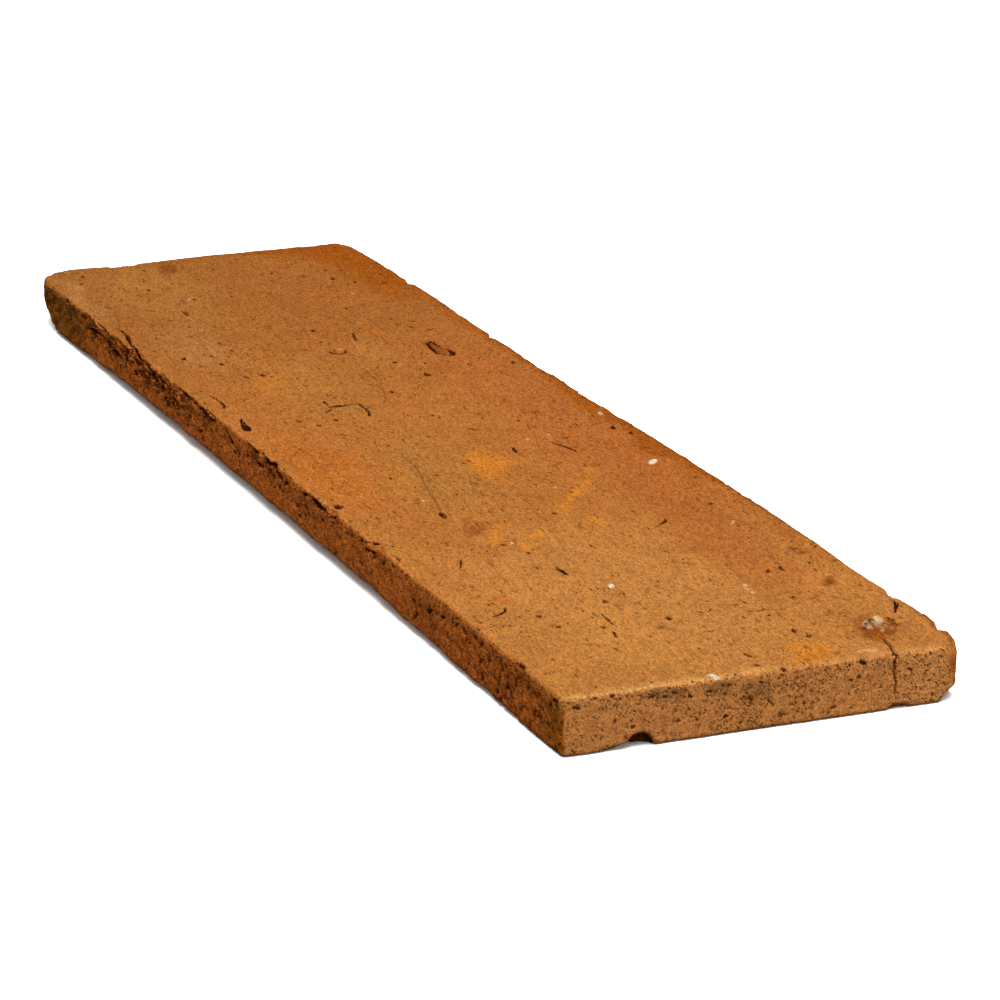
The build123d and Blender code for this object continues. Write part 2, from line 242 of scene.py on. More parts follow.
# Colours of the clay
CLAY = (0.49, 0.166, 0.034)
FAR_CLAY = (0.39, 0.133, 0.0265)
NEAR_CLAY = (0.53, 0.203, 0.045)
# the near end's clay and its paler part behind the crack: the clay's own colour, painted lighter to stand in
# for light falling on the end
END_CLAY_WITH_PAINTED_LIGHT = (0.71, 0.272, 0.072)
END_PALE_WITH_PAINTED_LIGHT = (0.8, 0.33, 0.098)
SOOT = (0.22, 0.115, 0.036)
FRONT_CLAY = (0.55, 0.14, 0.0215)
FRONT_FAR = (0.285, 0.085, 0.007)
FRONT_NEAR = (0.4, 0.117, 0.012)
# painted shade in the valleys between the front side's far ridges, and a painted highlight on the ridges
CREVICE_SHADE = (0.09, 0.03, 0.004)
RIDGE_HIGHLIGHT = (0.46, 0.18, 0.03)
BACK_CLAY = (0.46, 0.125, 0.018)
FAR_END_CLAY = (0.45, 0.14, 0.022)
CORNER_RED = (0.52, 0.13, 0.015)
# worn top arrises with a painted highlight: pale gold along the near one, pale orange along the front one
GOLD_WEAR_AND_HIGHLIGHT = (0.76, 0.4, 0.12)
FRONT_WEAR_AND_HIGHLIGHT = (0.62, 0.23, 0.045)
# painted shade along the rounded back and far top arrises, where they turn from the light
BACK_EDGE_SHADE = (0.19, 0.042, 0.006)
# painted shade on the downward-facing bed arrises, where the contact shadow falls
BED_EDGE_SHADE = (0.1, 0.03, 0.006)
GRIT_DULL = (0.74, 0.42, 0.17)
GRIT_PALE = (0.9, 0.76, 0.54)
# painted shade: the near-black put into pits, cracks, crumbled arrises, open layers, scar rims and the notch
HOLLOW_SHADE = (0.045, 0.007, 0.0008)
SAND_PALE = (0.72, 0.37, 0.12, 1)
SAND_DARK = (0.22, 0.06, 0.011, 1)
SAND_RUST = (0.3, 0.075, 0.012, 1)
# painted shade inside the pores of the walking face and near end, and inside the sides' pores and the front
# side's cracks
PORE_SHADE = (0.09, 0.023, 0.003, 1)
SIDE_PORE_SHADE = (0.04, 0.009, 0.001, 1)

# Colours of the stains
ORANGE = (0.68, 0.225, 0.024)
RED = (0.45, 0.124, 0.027)
OLIVE = (0.46, 0.185, 0.04)
OCHRE = (0.6, 0.245, 0.06)
RUST = (0.54, 0.15, 0.02)
EMBER = (0.36, 0.081, 0.003)
BROWN = (0.27, 0.072, 0.01)
SAND = (0.5, 0.22, 0.07)
UMBER = (0.46, 0.172, 0.036)
MOSS = (0.34, 0.135, 0.03)
BRICK = (0.38, 0.098, 0.016)
COPPER = (0.42, 0.11, 0.006)
STAINS = (  # x, y, half length, half width, turn, colour, strength
    (215, -8, 95, 60, 0, OCHRE, 0.55), (55, -20, 60, 26, -4, OLIVE, 0.7),
    (-70, -22, 60, 22, -6, OLIVE, 0.55), (-240, -35, 70, 36, 0, OLIVE, 0.6),
    (40, -60, 70, 17, 0, RUST, 0.5), (-85, -38, 26, 8, -6, ORANGE, 0.3), (150, 48, 110, 20, -6, RED, 0.6),
    (40, 52, 80, 26, 0, RED, 0.5), (-50, 50, 110, 24, 0, RED, 0.5), (-150, -50, 45, 20, 0, SAND, 0.35),
    (280, 60, 25, 14, 0, UMBER, 0.6), (-190, 20, 90, 40, 0, RED, 0.25), (-245, 66, 75, 20, 0, EMBER, 0.8),
    (-285, 55, 22, 26, 0, EMBER, 0.5), (-240, -71, 45, 6, 0, SAND, 0.6), (-297, 45, 8, 32, 0, EMBER, 0.8),
    (-287, -58, 14, 16, 0, MOSS, 0.6), (-115, 18, 22, 9, 0, OCHRE, 0.35),
    (0, 73, 230, 8, -0.5, EMBER, 0.75), (286.8, 22.5, 17, 8, -52, ORANGE, 0.9),
    (283.4, 31.5, 8, 4, 0, OCHRE, 0.6), (274.8, 53, 12.6, 6.4, -36, BROWN, 0.95),
    (136, -31, 17, 2.8, -27, ORANGE, 0.8), (150.7, -25.9, 5, 2.4, 0, ORANGE, 0.8),
    (139, -15.4, 7, 2.8, -32, ORANGE, 0.8), (105, 14, 20, 3, -34, ORANGE, 0.8),
    (84, 28, 20, 2.2, -36, ORANGE, 0.5), (132.6, 11.4, 6, 3, 0, ORANGE, 0.7),
    (52.6, 4.6, 27, 8.5, -4, ORANGE, 0.78), (60, -37, 30, 6, -6, ORANGE, 0.2),
    (-35, 15.6, 3.4, 3.2, 0, RED, 0.7), (20.6, -55, 4.4, 4, 0, RED, 0.5),
    (126, -35.8, 10.6, 4, -28, BRICK, 0.8), (280.5, 50.6, 5, 3, -36, COPPER, 0.8),
    (205, -57.4, 6, 4, -30, RUST, 0.5), (-283.6, -16.6, 14, 5, -8, BROWN, 0.85),
    (225.4, 58.4, 6, 3, -15, BROWN, 0.9), (-106, 45, 13, 4, 0, BROWN, 0.8), (130, 70, 40, 5, 0, OCHRE, 0.3),
)

# Finish, floor, light and camera
SHEEN = 0.01
BUMP_STRENGTH = 0.6
BUMP_DEPTH = 0.5
FLOOR_HALF = 4  # metres
FLOOR_DROP = 0.2
FLOOR_BOUNCE = 0.3  # grey that lights the tile from below
FLOOR_WHITE = 2.2  # what is seen of it, so bright that only the shadow isn't white
SKY_STRENGTHS = (0.02, 0.6)  # at the horizon and overhead
SUNS = (  # name, strength, spread and turn
    ("key", 1.82, 40, (5, 14, 0)),
    ("fill", 0.46, 30, (0, 76, 0)),
)
SENSOR_WIDTH = 36
LENS = 144
CAMERA_PLACE = (1.40854, -0.57048, 0.4741)  # metres
CAMERA_TURN = (72.3502, -0.4373, 67.0953)


# Noise

TURN = np.array(Euler((0.5, 0.9, 1.7)).to_matrix())


def lattice_values(cells, seed):
    """A repeatable number from -1 to 1 for each lattice point."""
    mask = 0xFFFFFFFF
    spread = (cells[:, 0] * 73856093) ^ (cells[:, 1] * 19349663) ^ (cells[:, 2] * 83492791) ^ (seed * 40503)
    spread = ((spread ^ (spread >> 15)) * 2246822519) & mask
    spread = ((spread ^ (spread >> 13)) * 3266489917) & mask
    return (spread ^ (spread >> 16)) / 2147483648.0 - 1.0


def noise(points, size, seed, stretch=(1, 1, 1)):
    """Smooth noise from -1 to 1 whose features are about the given size."""
    placed = (points / stretch) @ TURN / size + seed * 17.31
    cells = np.floor(placed).astype(np.int64)
    part = placed - cells
    blend = part**3 * (part * (part * 6 - 15) + 10)
    total = np.zeros(len(points))
    for corner in itertools.product((0, 1), repeat=3):
        weight = np.prod(np.where(corner, blend, 1 - blend), axis=1)
        total += weight * lattice_values(cells + corner, seed)
    return total


def layered(points, size, seed, layers=3, stretch=(1, 1, 1)):
    """Noise with finer layers, each of half the size and strength."""
    total = sum(0.5**k * noise(points, size / 2**k, seed + 31 * k, stretch) for k in range(layers))
    return total / (2 - 0.5 ** (layers - 1))


def lumps(points, size, seed, stretch=(1, 1, 1)):
    """Each point's lump as a number from -1 to 1, and how near the lump's rim is."""
    placed = (points / stretch) @ TURN / size + seed * 11.7
    home = np.floor(placed).astype(np.int64)
    first, second = np.full((2, len(points)), 9.0)
    value = np.zeros(len(points))
    for offset in itertools.product((-1, 0, 1), repeat=3):
        cell = home + offset
        jitter = np.stack([lattice_values(cell, seed + k) for k in (1, 2, 3)], axis=1)
        distance = np.linalg.norm(placed - (cell + 0.5 + 0.45 * jitter), axis=1)
        closer = distance < first
        second = np.where(closer, first, np.minimum(second, distance))
        value = np.where(closer, lattice_values(cell, seed + 4), value)
        first = np.minimum(first, distance)
    return value, 1 - step(0, 0.3, second - first)


def step(low, high, values):
    """A smooth step from 0 at low to 1 at high, which may be the lesser."""
    share = np.clip((values - low) / (high - low), 0, 1)
    return share * share * (3 - 2 * share)


def bell(distance, reach):
    """1 at no distance, falling to about a third at the reach."""
    return np.exp(-((distance / reach) ** 2))


def slanted(points, slope):
    """Places that slant a pattern up or down along the length."""
    return points @ ((1, 0, slope), (0, 1, 0), (0, 0, 1))


# Places on the tile

FACES = {  # axis and side that each face looks along, and the axes of the places on it
    "top": (2, 1, (0, 1)),
    "near": (0, 1, (1, 2)),
    "far": (0, -1, (1, 2)),
    "front": (1, -1, (0, 2)),
    "back": (1, 1, (0, 2)),
}
SIDES = ("near", "far", "front", "back")


def facing(normals, face):
    """How far each vertex belongs to a face, from 0 to 1."""
    axis, sign, _ = FACES[face]
    return step(0.4, 0.8, sign * normals[:, axis])


def places_on(points, face):
    return points[:, FACES[face][2]]


def crown_height(x):
    """The walking face's height along the length."""
    return THICKNESS + CROWN * (1 - (x / HIGH[0]) ** 2)


def back_line(x):
    """Where the wavy back side stands along the length."""
    return np.interp(x, *zip(*BACK_LINE))


def arris_distance(points):
    """Distance from the top arris of each side."""
    below = np.maximum(crown_height(points[:, 0]) - points[:, 2], 0)
    inside = {
        "front": points[:, 1] - LOW[1],
        "back": back_line(points[:, 0]) - points[:, 1],
        "near": HIGH[0] - points[:, 0],
        "far": points[:, 0] - LOW[0],
    }
    return {face: np.hypot(below, np.maximum(depth, 0)) for face, depth in inside.items()}


def front_decay(x):
    """How far the front side's top arris has crumbled, from 0 to 1."""
    spells = sum(depth * bell(x - middle, reach) for middle, reach, depth in DECAY_SPELLS)
    return np.clip(DECAY_LEAST + spells, 0, 1)


def front_breakage(points, normals):
    """How broken the front side is, from 0 to 1."""
    x, z = points[:, 0], points[:, 2]
    opened = step(*OPENED_FROM, x) * step(7, 13, z)
    crumbled = step(11, 18, z) * front_decay(x)
    return facing(normals, "front") * np.clip(0.12 + 0.9 * opened + 0.8 * crumbled, 0, 1)


def bed_line(points):
    """The least height of the bed, which rises beside the notch towards the near end."""
    return np.interp(points[:, 1], *zip(*BED_SLOPE)) * step(*SLOPE_REACH, points[:, 0])


# Pits and strokes

def scattered_pits(count, low, high, sizes, stretch, lean, seed):
    """Random pits over a face: place, length, width and turn."""
    own = np.random.default_rng(seed)
    pits = []
    for _ in range(count):
        place = own.uniform(low, high)
        width = sizes[0] + (sizes[1] - sizes[0]) * own.random() ** 3
        length = width * own.uniform(1, stretch)
        pits.append((place[0], place[1], length, width, own.normal(lean, 25)))
    return pits


PITS = {
    "top": [
        *TOP_PITS,
        *scattered_pits(120, (-294, -73), (296, 70), (0.8, 1.3), 2.4, -8, 7),
        *scattered_pits(60, (-290, -70), (20, 72), (0.7, 1.4), 2.6, -10, 17),
        *scattered_pits(70, (-290, 63), (210, 73), (0.6, 1.3), 1.8, -10, 27),
    ],
    "near": [*END_PITS, *scattered_pits(90, (-75, 0.5), (68, 19.5), (0.5, 0.9), 2.4, -42, 3)],
    "far": scattered_pits(220, (-66, 1), (71, 18), (0.7, 2.0), 2.2, 35, 4),
    "front": [
        *FRONT_PITS,
        *scattered_pits(150, (-216, 8), (-56, 19.8), (0.7, 1.4), 4.5, -14, 21),
        *scattered_pits(110, (-296, 2), (298, 20), (0.8, 1.4), 2.2, 25, 5),
        *scattered_pits(130, (214, 1), (299, 18.5), (0.8, 1.6), 2.2, 40, 15),
    ],
    "back": scattered_pits(260, (-294, 1), (292, 20), (0.8, 2.2), 2.4, 20, 6),
}
STROKES = {"top": TOP_STROKES, "near": END_STROKES, "front": FRONT_STROKES, "far": (), "back": ()}


def ellipse_share(places, spot):
    """Distance from a spot's middle, as a share of its half sizes."""
    u, v, half_long, half_wide, turn = spot
    turn = math.radians(turn)
    du, dv = places[:, 0] - u, places[:, 1] - v
    along = du * math.cos(turn) + dv * math.sin(turn)
    across = dv * math.cos(turn) - du * math.sin(turn)
    return np.hypot(along / half_long, across / half_wide)


def halved(u, v, length, width, turn):
    """The spot of a feature given by its whole length and width."""
    return (u, v, length / 2, width / 2, turn)


def within(places, spot, margin):
    """Whether each place is within a margin of a spot."""
    u, v, half_long, half_wide, turn = spot
    return ellipse_share(places, (u, v, half_long + margin, half_wide + margin, turn)) < 1


def stroke_share(places, path, margin=0):
    """Distance from a stroke's middle line, as a share of its local half width."""
    nearest = np.full(len(places), 1e9)
    for start, end in zip(path[:-1], path[1:]):
        origin, run = np.array(start[:2], float), np.subtract(end[:2], start[:2])
        share = np.clip(((places - origin) @ run) / (run @ run), 0, 1)
        distance = np.linalg.norm(places - origin - share[:, None] * run, axis=1)
        half = start[2] + (end[2] - start[2]) * share + margin
        nearest = np.minimum(nearest, distance / half)
    return nearest


def boxed(places, u, v, reach):
    """The indices of the places in a square round a middle."""
    return np.where((abs(places[:, 0] - u) < reach) & (abs(places[:, 1] - v) < reach))[0]


def near_features(points, face, margin, least_width=math.inf):
    """Whether each point is within a margin of a stroke, or of a pit that is wide enough."""
    places = places_on(points, face)
    hit = np.zeros(len(points), bool)
    for _, *path in STROKES[face]:
        hit |= stroke_share(places, path, margin) < 1
    for pit in PITS[face]:
        u, v, length, width, _ = pit
        if width >= least_width:
            near = boxed(places, u, v, length / 2 + margin)
            hit[near] |= within(places[near], halved(*pit), margin)
    return hit


def near_spots(points, grit_margin, scar_margin):
    """Whether each point is within a margin of the grit or a flake scar."""
    places = places_on(points, "top")
    hit = np.zeros(len(points), bool)
    for *grain, _ in GRIT:
        hit |= within(places, halved(*grain), grit_margin)
    for *scar, _ in SCARS:
        hit |= within(places, scar, scar_margin)
    return hit


# The dense mesh

def in_scene(name, data):
    """A new object in the scene."""
    thing = bpy.data.objects.new(name, data)
    bpy.context.scene.collection.objects.link(thing)
    return thing


def apply_modifiers(tile):
    evaluated = tile.evaluated_get(bpy.context.evaluated_depsgraph_get())
    mesh = bpy.data.meshes.new_from_object(evaluated)
    tile.modifiers.clear()
    tile.data = mesh


def vertex_array(tile, field):
    values = np.zeros(len(tile.data.vertices) * 3)
    tile.data.vertices.foreach_get(field, values)
    return values.reshape(-1, 3)


def dense_copy(node):
    """A copy of the node's mesh with small even faces, coarser on the underside."""
    mesh = node.data.copy()
    welded = bmesh.new()
    welded.from_mesh(mesh)
    bmesh.ops.remove_doubles(welded, verts=welded.verts, dist=WELD * MM)
    welded.to_mesh(mesh)
    welded.free()

    tile = in_scene("tile_body", mesh)
    remesh = tile.modifiers.new("Remesh", "REMESH")
    remesh.mode = "VOXEL"
    remesh.voxel_size = VOXEL * MM
    apply_modifiers(tile)

    under = tile.vertex_groups.new(name="under")
    downward = vertex_array(tile, "normal")[:, 2] < -0.9
    under.add(np.where(downward)[0].tolist(), 1, "REPLACE")
    thin = tile.modifiers.new("Thin", "DECIMATE")
    thin.ratio = UNDER_KEPT
    thin.vertex_group = "under"
    apply_modifiers(tile)
    tile.vertex_groups.clear()
    return tile


def refine(tile, wanted, solid):
    """Halves the edges of the wanted faces, and lays all vertices on the solid's surface."""
    mesh = bmesh.new()
    mesh.from_mesh(tile.data)
    centres = np.array([face.calc_center_median() for face in mesh.faces]) / MM
    normals = np.array([face.normal for face in mesh.faces])
    picked = wanted(centres, normals)
    edges = {edge for face, hit in zip(mesh.faces, picked) if hit for edge in face.edges}
    bmesh.ops.subdivide_edges(mesh, edges=list(edges), cuts=1, use_grid_fill=True)
    for vertex in mesh.verts:
        vertex.co = solid.find_nearest(vertex.co)[0]
    mesh.to_mesh(tile.data)
    mesh.free()


def near_arris(centres, normals, reach):
    """Whether each face is within reach of a top arris and doesn't look down."""
    nearest = np.min(list(arris_distance(centres).values()), axis=0)
    return (normals[:, 2] > 0) & (nearest < reach)


def looking(normals):
    """Whether each face looks up, to the near end and to the front."""
    return normals[:, 2] > 0.6, normals[:, 0] > 0.45, normals[:, 1] < -0.4


def first_refinement(centres, normals):
    """About 1.2 mm: the sides, the arrises and round the features of the walking face."""
    top, _, _ = looking(normals)
    picked = (abs(normals[:, 0]) > 0.4) | (abs(normals[:, 1]) > 0.4)
    picked |= near_arris(centres, normals, 3.5)
    return picked | top & (near_features(centres, "top", 1.8, 0.9) | near_spots(centres, 1.8, 1.8))


def second_refinement(centres, normals):
    """About 0.6 mm: the near end, the front side's upper half, the arrises and the features."""
    top, near, front = looking(normals)
    upper_half = (centres[:, 2] > 9) & (centres[:, 0] < 100)
    picked = near | near_arris(centres, normals, 2.0)
    picked |= front & (upper_half | near_features(centres, "front", 0.5, 1.1))
    return picked | top & (near_features(centres, "top", 0.9, 0.9) | near_spots(centres, 0.8, 0.6))


def third_refinement(centres, normals):
    """About 0.3 mm: pits and cracks of the top and the near end, and the front side's cracks."""
    top, near, front = looking(normals)
    picked = top & near_features(centres, "top", 0.35, 1)
    picked |= front & near_features(centres, "front", 0.3)
    return picked | near & (near_features(centres, "near", 0.3, 0.85) | near_features(centres, "near", 0.5))


# Relief

def surface_waves(points, weights):
    """The slight unevenness of every face, outwards."""
    top = 0.28 * layered(points, 70, 1) + 0.12 * layered(points, 14, 2) + 0.05 * noise(points, 3.5, 3)
    top += 0.05 * layered(points, 1.8, 23, 2, (7, 1, 1))
    side = 0.25 * layered(points, 24, 4) + 0.16 * layered(points, 5, 5) + 0.10 * noise(points, 1.8, 6)
    end = 0.14 * layered(points, 1.6, 98, 2, (1, 1.6, 1))
    sides = np.clip(sum(weights[face] for face in SIDES), 0, 1)
    return weights["top"] * top + sides * side + weights["near"] * end


def uneven_edges(points, arris):
    """Waves of the far and back arrises, the front bed arris and the near end's broken corner."""
    x, y, z = points.T
    gap = np.maximum(LIFT_RISE * (1 - ((x - LIFT_MIDDLE) / LIFT_HALF) ** 2), 0)
    upper = bell(np.minimum(arris["back"], arris["far"]), 5)
    lower = bell(np.hypot(y - LOW[1], z - gap), 3.5)
    corner = bell(np.hypot(y - BROKEN_CORNER[0], z - BROKEN_CORNER[1]), 5) * step(285, 294, x)
    shift = upper * (0.45 * layered(points, 18, 62) + 0.14 * layered(points, 5, 63))
    shift += lower * (0.55 * layered(points, 16, 64) + 0.2 * layered(points, 5, 65))
    return shift + corner * (0.7 * layered(points, 6, 66) + 0.3 * noise(points, 2.2, 67))


def worn_arrises(points, weights, arris):
    """How deep the top arrises have worn and crumbled, and how much shade is painted into the crumbs."""
    sunk, hollow_shade = np.zeros((2, len(points)))
    crumbs = 0.5 * np.clip(layered(points, 3, 8), 0, 1)
    for face, (size, depth, seed, stretch) in ARRIS_WEAR.items():
        decay = front_decay(points[:, 0]) if face == "front" else 0.5 + 0.5 * noise(points, 22, 60)
        value, rim = lumps(points, size, seed, stretch)
        band = decay * bell(arris[face], 2.6)
        sunk += band * depth * (step(-0.1, 0.7, value) + crumbs)
        # painted shade at the lumps' rims and where lumps of the side faces are lost
        dark = np.maximum(rim * 0.4, step(0.4, 0.9, value) * weights[face])
        hollow_shade = np.maximum(hollow_shade, 0.45 * band * dark)
    return sunk, hollow_shade


def far_ridges(points):
    """The slanting ridges of the front side's far end, from -1 to 1."""
    return layered(slanted(points, -0.35), 2.6, 97, 3, (3.5, 1, 1))


def opened_layers(points, front):
    """How deep the front side's open layers, ridges and crumbs are, and how much shade is painted into their
    gaps.
    """
    x, z = points[:, 0], points[:, 2]
    opened = front * step(*OPENED_FROM, x) * step(*OPENED_TO, x) * step(10, 14, z)
    layers = layered(slanted(points, 0.2), 1.7, 9, 3, (6, 1, 1))
    ridged = front * step(*RIDGED_FROM, x)
    ridges = far_ridges(points)
    rough = front * (0.2 + 0.8 * step(13, 18, z)) * front_decay(x)
    crumbs, _ = lumps(points, 1.7, 95, (2.6, 1, 1))

    sunk = 0.8 * opened * step(-0.05, 0.35, layers) - 0.5 * ridged * ridges
    sunk += 0.7 * rough * step(0.3, 0.8, crumbs)
    # painted shade in the gaps of the open layers, in the valleys between the far ridges and in the crumbs
    hollow_shade = np.maximum(0.65 * opened * step(0.12, 0.4, layers), 0.4 * ridged * step(0.1, 0.5, -ridges))
    return sunk, np.maximum(hollow_shade, 0.8 * rough * step(0.45, 0.8, crumbs))


def pits_and_strokes(points, weights, wander):
    """How deep the pits and strokes of every face are, and how much shade is painted into them."""
    sunk, hollow_shade = np.zeros((2, len(points)))
    for face, weight in weights.items():
        places = places_on(points, face)
        for pit in PITS[face]:
            u, v, length, width, _ = pit
            near = boxed(places, u, v, 0.8 * length + 0.4)
            share = ellipse_share(places[near] + wander[near], halved(*pit))
            deep = min(PIT_DEPTH_SHARE * width, PIT_DEEPEST)
            # how much shade is painted into the pit, more for a wider one
            dark = min(0.38 + 0.25 * width, 0.85)
            sunk[near] += deep * weight[near] * (1 - step(0.8, 1.1, share))
            hollow_shade[near] = np.maximum(hollow_shade[near], dark * weight[near] * (1 - step(0.98, 1.2, share)))
        if face == "front":
            weight = weight * (0.4 + 0.6 * step(-0.4, 0.1, noise(points, 2.4, 96)))
        for depth, *path in STROKES[face]:
            share = stroke_share(places + 0.3 * wander, path)
            sunk += depth * weight * (1 - step(0.7, 1.1, share))
            hollow_shade = np.maximum(hollow_shade, weight * (1 - step(1, 1.35, share)) * step(0, 0.8, depth))
    return sunk, hollow_shade


def scars_and_grit(points, top, wander):
    """How deep the flake scars are, below 0 for raised grit, and how much shade is painted along the scars'
    rims.
    """
    sunk, hollow_shade = np.zeros((2, len(points)))
    rough = 0.75 + 0.8 * noise(points, 2.2, 33)
    broken = step(-0.35, 0.2, noise(points, 5, 34))
    for *scar, depth in SCARS:
        share = ellipse_share(points[:, :2] + 3 * wander, scar)
        sunk += top * depth * rough * (1 - step(0.85, 1, share))
        # painted shade along the step at each scar's rim, more for deeper scars
        rim = top * broken * bell(share - 0.95, 0.09) * step(0.2, 1.2, depth)
        hollow_shade = np.maximum(hollow_shade, 0.8 * rim)
    for *grain, _ in GRIT:
        share = ellipse_share(points[:, :2] + 1.6 * wander, halved(*grain))
        sunk -= top * GRIT_HEIGHT * (1 - step(0.7, 1.1, share))
    return sunk, hollow_shade


def notch_shade(points):
    """How dark the deep of the notch under the near end is."""
    x, y, z = points.T
    inside = (abs(y - NOTCH_MIDDLE) < NOTCH_HALF) & (z < NOTCH_HEIGHT) & (x > NOTCH_INNER)
    return 0.8 * inside * step(299.8, 298.6, x)


def relief(points, normals):
    """The outward shift of each vertex, and how much shade is painted on it in pits, cracks, crumbs and the
    notch, from 0 to 1.
    """
    weights = {face: facing(normals, face) for face in FACES}
    arris = arris_distance(points)
    wander = 0.35 * np.stack([noise(points, 1.7, 91), noise(points, 1.7, 92)], axis=1)
    losses = (
        worn_arrises(points, weights, arris),
        opened_layers(points, weights["front"]),
        pits_and_strokes(points, weights, wander),
        scars_and_grit(points, weights["top"], wander),
    )
    shift = surface_waves(points, weights) + uneven_edges(points, arris) - sum(sunk for sunk, _ in losses)
    return shift, np.max([notch_shade(points), *(hollow_shade for _, hollow_shade in losses)], axis=0)


# Colours

def mixed(colour, tint, amount):
    amount = amount[:, None]
    return colour * (1 - amount) + amount * tint


def walking_face_colours(points, top):
    """The clay's zones along the length, and the stains of the walking face."""
    x = points[:, 0]
    colour = np.tile(CLAY, (len(points), 1))
    colour = mixed(colour, FAR_CLAY, step(0, -240, x + 30 * layered(points, 60, 41)))
    colour = mixed(colour, NEAR_CLAY, step(60, 270, x + 25 * layered(points, 60, 44)))
    warp = np.stack([layered(points, 24, 42), layered(points, 24, 43)], axis=1)
    fine = np.stack([layered(points, 7, 45), layered(points, 7, 46)], axis=1)
    for *spot, tint, strength in STAINS:
        small = min(1, spot[3] / 10)
        share = ellipse_share(points[:, :2] + small * 9 * warp + 2.2 * fine, spot)
        colour = mixed(colour, tint, top * strength * (1 - step(0.35 + 0.2 * (1 - small), 1.2, share)))
    return colour


def near_end_colours(colour, points, near):
    """The near end's clay, painted lighter than elsewhere to stand in for the light on the end, paler behind
    the crack, with smudges of soot.
    """
    colour = mixed(colour, END_CLAY_WITH_PAINTED_LIGHT, near)
    colour = mixed(colour, END_PALE_WITH_PAINTED_LIGHT, near * 0.6 * step(44, 50, points[:, 1]))
    smudge = np.stack([2.6 * layered(points, 5, 47), 1.8 * layered(points, 4, 48)], axis=1)
    for spot in SOOT_SPOTS:
        share = ellipse_share(places_on(points, "near") + smudge, spot)
        colour = mixed(colour, SOOT, near * 0.52 * (1 - step(0.45, 1.15, share)))
    return colour


def front_side_colours(colour, points, front):
    """The front side's red clay, darker at both ends, blotched, with painted shade in the valleys and
    painted highlights on the ridges of its far end.
    """
    x, z = points[:, 0], points[:, 2]
    colour = mixed(colour, FRONT_CLAY, front)
    colour = mixed(colour, FRONT_FAR, front * step(-195, -235, x + 10 * layered(points, 20, 48)))
    colour = mixed(colour, FRONT_NEAR, front * step(272, 296, x))
    blotches = layered(slanted(points, 0.25), 3.2, 99, 3, (2.2, 1, 1))
    colour = colour * (1 + front * (0.2 + 0.3 * step(7, 13, z)) * blotches)[:, None]
    ridged, ridges = front * step(*RIDGED_FROM, x), far_ridges(points)
    # painted shade in the ridges' valleys and a painted highlight on their crests
    colour = mixed(colour, CREVICE_SHADE, ridged * 0.5 * step(0, 0.4, -ridges))
    return mixed(colour, RIDGE_HIGHLIGHT, ridged * 0.3 * step(0, 0.4, ridges))


def edge_colours(colour, points, normals, hollow_shade):
    """A gold near arris and a pale front one, each wear with a painted highlight, painted shade along the
    back and far arrises, and painted shade on the bed arrises.
    """
    y, near = points[:, 1], facing(normals, "near")
    arris = arris_distance(points)
    ragged = 1 + 0.5 * layered(points, 9, 53) + 0.3 * noise(points, 2.5, 54)
    # pale gold and pale orange along the near and front top arrises: wear, with a painted highlight where
    # the rounded arris catches the light
    gold = bell(arris["near"], 3.2 * ragged) * (1 - near) * (0.35 + 0.4 * step(10, -15, y))
    colour = mixed(colour, GOLD_WEAR_AND_HIGHLIGHT, gold * (1 - hollow_shade))
    colour = mixed(colour, FRONT_WEAR_AND_HIGHLIGHT, 0.5 * bell(arris["front"], 1.8 * ragged) * (1 - hollow_shade))
    # painted shade along the back and far arrises
    rim_shade = bell(np.minimum(arris["back"], arris["far"] + 0.5), 1.8 * ragged)
    colour = mixed(colour, BACK_EDGE_SHADE, 0.75 * rim_shade)
    # painted shade where the faces look downwards, on the rounded bed arrises
    lower = step(-0.15, -0.5, normals[:, 2]) * (1 - step(-0.8, -0.97, normals[:, 2]))
    return mixed(colour, BED_EDGE_SHADE, 0.7 * lower)


def grit_colours(colour, points, top):
    """The pale grit of the walking face."""
    crisp = np.stack([noise(points, 1.6, 51), noise(points, 1.6, 52)], axis=1)
    for *grain, pale in GRIT:
        share = ellipse_share(points[:, :2] + 0.6 * crisp, halved(*grain))
        tint = np.array(GRIT_DULL) * (1 - pale) + np.array(GRIT_PALE) * pale
        colour = mixed(colour, tint, (0.35 + 0.65 * pale) * top * (1 - step(0.8, 1.1, share)))
    return colour


def clay_colours(points, normals, hollow_shade):
    """The clay's colour at each vertex, before the material's grain, with painted light on the near end and
    some arrises and painted shade in pits, cracks and crumbs.
    """
    x, y, z = points.T
    top, near, far, front, back = (facing(normals, face) for face in FACES)
    colour = walking_face_colours(points, top)
    colour = near_end_colours(colour, points, near)
    colour = front_side_colours(colour, points, front)
    colour = mixed(colour, BACK_CLAY, back)
    colour = mixed(colour, FAR_END_CLAY, far)
    colour = mixed(colour, CORNER_RED, 0.8 * bell(np.hypot(x - 300, y - 70), 4) * step(5, 11, z))
    tone = 1 + 0.09 * layered(points, 30, 49) + 0.05 * layered(points, 8, 50)
    colour = edge_colours(colour * tone[:, None], points, normals, hollow_shade)
    colour = grit_colours(colour, points, top)
    # painted shade in pits, cracks, crumbs and the notch, a little less on the near end
    return mixed(colour, HOLLOW_SHADE, step(0.2, 0.75, hollow_shade) * (0.97 - 0.1 * near))


def colour_attribute(mesh, name, channels):
    """Keeps three numbers for each vertex as a colour attribute."""
    values = np.ones((len(mesh.vertices), 4))
    values[:, :3] = channels
    mesh.color_attributes.new(name, "FLOAT_COLOR", "POINT").data.foreach_set("color", values.ravel())


